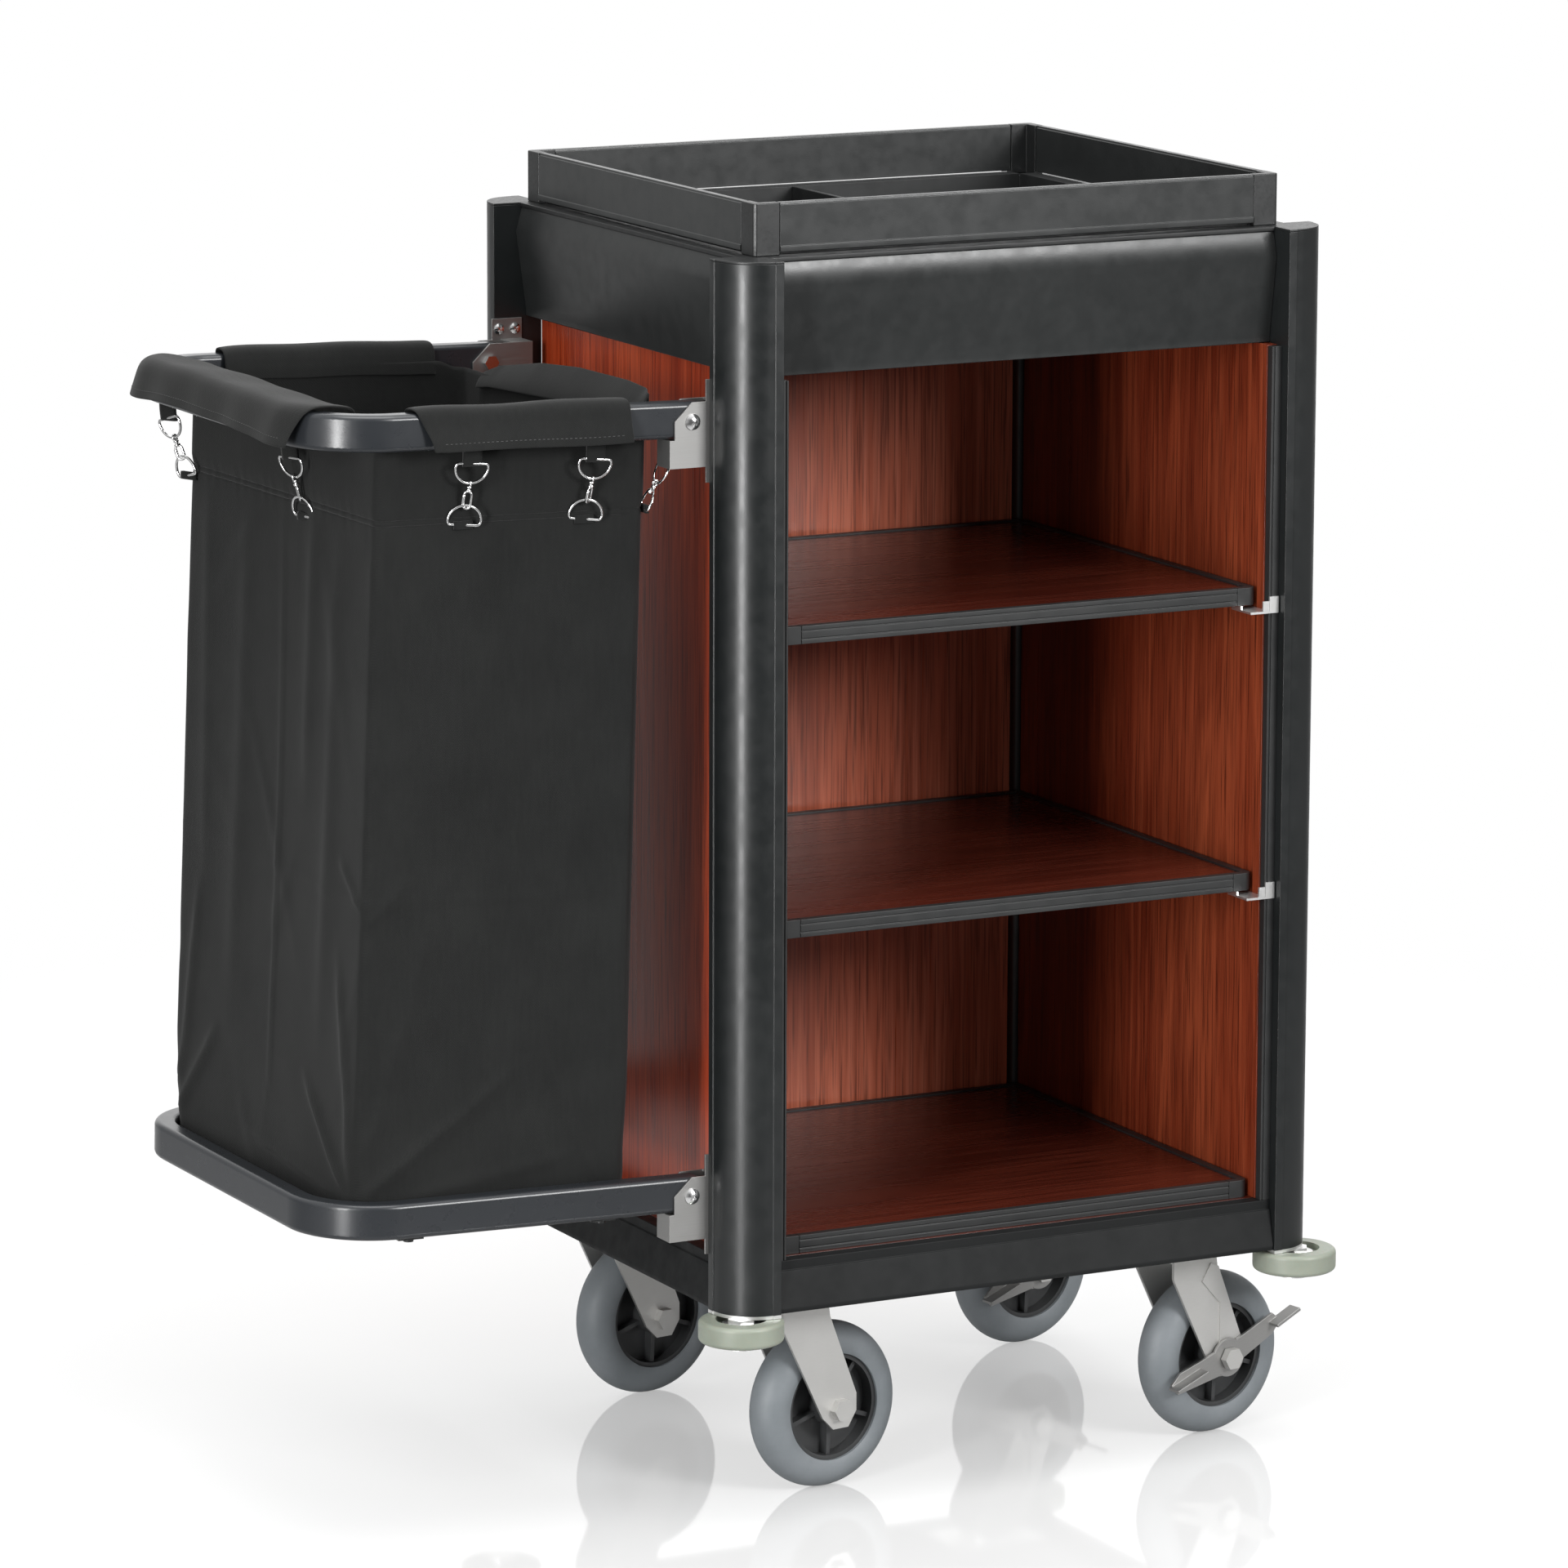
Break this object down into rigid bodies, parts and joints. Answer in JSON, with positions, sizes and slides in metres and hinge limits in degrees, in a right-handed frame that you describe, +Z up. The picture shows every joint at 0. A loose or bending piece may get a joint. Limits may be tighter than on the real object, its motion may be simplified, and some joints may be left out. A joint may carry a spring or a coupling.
{
  "type": "housekeeping cart",
  "caption": "Hotel housekeeping cart with an open shelved cabinet, a tray top, a hanging laundry bag on fold-up loops, swivel casters and corner bumpers.",
  "frame": {"origin": "centre of the whole cart's outline, on the floor under the wheels", "axes": "+Z up; +X along the cart away from the bag; -Y is the open front of the shelves"},
  "size_m": [0.9993, 0.572, 1.168],
  "materials": {
    "black_coat": "satin powder coat",
    "black_plastic": "fine-grained moulding",
    "laminate": "satin mahogany laminate",
    "zinc_plate": "bright zinc",
    "stainless": "satin",
    "chrome": "polished",
    "black_trim": "black anodised",
    "loop_coat": "semi-gloss powder coat",
    "canvas": "woven canvas",
    "hub_plastic": "moulded",
    "tyre_rubber": "satin thermoplastic rubber",
    "bumper_plastic": "satin elastomer"
  },
  "bodies": {
    "cart": {"post_fl": "black_coat", "post_fr": "black_coat", "post_bl": "black_coat", "post_br": "black_coat", "post_caps": "black_plastic", "post_feet": "zinc_plate", "fascia_front": "black_coat", "fascia_back": "black_coat", "fascia_left": "black_coat", "fascia_right": "black_coat", "top_frame": "black_coat", "tray_panels": "black_coat", "tray_corners": "black_plastic", "tray_bin": "black_plastic", "tray_divider": "black_plastic", "left_panel": "laminate", "right_panel": "laminate", "back_panel": "laminate", "panel_strips": "black_trim", "corner_profiles": "black_trim", "base_rails": "black_coat", "base_beams": "black_coat", "base_deck": "laminate", "bottom_shelf_board": "laminate", "bottom_shelf_trim": "black_trim", "bracket_upper_front": "stainless", "bracket_upper_back": "stainless", "bracket_lower_front": "stainless", "bracket_lower_back": "stainless", "bracket_screws": "chrome", "caster_plates": "zinc_plate"},
    "upper_frame": {"upper_loop": "loop_coat", "laundry_bag": "canvas", "bag_hooks": "chrome"},
    "lower_frame": {"lower_loop": "loop_coat", "bag_floor": "black_coat"},
    "upper_shelf": {"upper_shelf_board": "laminate", "upper_shelf_trim": "black_trim", "upper_shelf_clips": "zinc_plate"},
    "middle_shelf": {"middle_shelf_board": "laminate", "middle_shelf_trim": "black_trim", "middle_shelf_clips": "zinc_plate"},
    "caster_fl": {"fork_fl": "stainless"},
    "wheel_fl": {"hub_fl": "hub_plastic", "tyre_fl": "tyre_rubber"},
    "roller_fl": {"bumper_fl": "bumper_plastic"},
    "caster_fr": {"fork_fr": "stainless"},
    "wheel_fr": {"hub_fr": "hub_plastic", "tyre_fr": "tyre_rubber"},
    "roller_fr": {"bumper_fr": "bumper_plastic"},
    "caster_bl": {"fork_bl": "stainless"},
    "wheel_bl": {"hub_bl": "hub_plastic", "tyre_bl": "tyre_rubber"},
    "roller_bl": {"bumper_bl": "bumper_plastic"},
    "caster_br": {"fork_br": "stainless"},
    "wheel_br": {"hub_br": "hub_plastic", "tyre_br": "tyre_rubber"},
    "roller_br": {"bumper_br": "bumper_plastic"},
    "brake_fr": {"brake_lever_fr": "zinc_plate"},
    "brake_br": {"brake_lever_br": "zinc_plate"}
  },
  "joints": [
    {"name": "upper_frame_fold", "type": "hinge", "parent": "cart", "child": "upper_frame", "pos_m": [-0.1375, 0, 0.981], "axis": [0, 1, 0], "range_deg": [0, 88.7], "deforming": ["laundry_bag"]},
    {"name": "lower_frame_fold", "type": "hinge", "parent": "cart", "child": "lower_frame", "pos_m": [-0.1375, 0, 0.294], "axis": [0, 1, 0], "range_deg": [0, 88.7]},
    {"name": "upper_shelf_slide", "type": "slide", "parent": "cart", "child": "upper_shelf", "axis": [0, 0, 1], "range_m": [-0.08, 0.08]},
    {"name": "middle_shelf_slide", "type": "slide", "parent": "cart", "child": "middle_shelf", "axis": [0, 0, 1], "range_m": [-0.08, 0.08]},
    {"name": "swivel_fl", "type": "hinge", "parent": "cart", "child": "caster_fl", "pos_m": [-0.0215, -0.177, 0.176], "axis": [0, 0, 1], "continuous": true},
    {"name": "spin_fl", "type": "hinge", "parent": "caster_fl", "child": "wheel_fl", "pos_m": [0.01592, -0.1704, 0.076], "axis": [-0.1736, 0.9848, 0], "continuous": true},
    {"name": "roll_fl", "type": "hinge", "parent": "cart", "child": "roller_fl", "pos_m": [-0.1045, -0.248, 0.176], "axis": [0, 0, 1], "continuous": true},
    {"name": "swivel_fr", "type": "hinge", "parent": "cart", "child": "caster_fr", "pos_m": [0.3785, -0.177, 0.176], "axis": [0, 0, 1], "continuous": true},
    {"name": "spin_fr", "type": "hinge", "parent": "caster_fr", "child": "wheel_fr", "pos_m": [0.41592, -0.1704, 0.076], "axis": [-0.1736, 0.9848, 0], "continuous": true},
    {"name": "roll_fr", "type": "hinge", "parent": "cart", "child": "roller_fr", "pos_m": [0.4615, -0.248, 0.176], "axis": [0, 0, 1], "continuous": true},
    {"name": "swivel_bl", "type": "hinge", "parent": "cart", "child": "caster_bl", "pos_m": [-0.0215, 0.177, 0.176], "axis": [0, 0, 1], "continuous": true},
    {"name": "spin_bl", "type": "hinge", "parent": "caster_bl", "child": "wheel_bl", "pos_m": [0.01592, 0.1836, 0.076], "axis": [-0.1736, 0.9848, 0], "continuous": true},
    {"name": "roll_bl", "type": "hinge", "parent": "cart", "child": "roller_bl", "pos_m": [-0.1045, 0.248, 0.176], "axis": [0, 0, 1], "continuous": true},
    {"name": "swivel_br", "type": "hinge", "parent": "cart", "child": "caster_br", "pos_m": [0.3785, 0.177, 0.176], "axis": [0, 0, 1], "continuous": true},
    {"name": "spin_br", "type": "hinge", "parent": "caster_br", "child": "wheel_br", "pos_m": [0.41592, 0.1836, 0.076], "axis": [-0.1736, 0.9848, 0], "continuous": true},
    {"name": "roll_br", "type": "hinge", "parent": "cart", "child": "roller_br", "pos_m": [0.4615, 0.248, 0.176], "axis": [0, 0, 1], "continuous": true},
    {"name": "brake_fr_rock", "type": "hinge", "parent": "caster_fr", "child": "brake_fr", "pos_m": [0.41592, -0.1704, 0.076], "axis": [-0.1736, 0.9848, 0], "range_deg": [0, 30]},
    {"name": "brake_br_rock", "type": "hinge", "parent": "caster_br", "child": "brake_br", "pos_m": [0.41592, 0.1836, 0.076], "axis": [-0.1736, 0.9848, 0], "range_deg": [0, 30]}
  ]
}
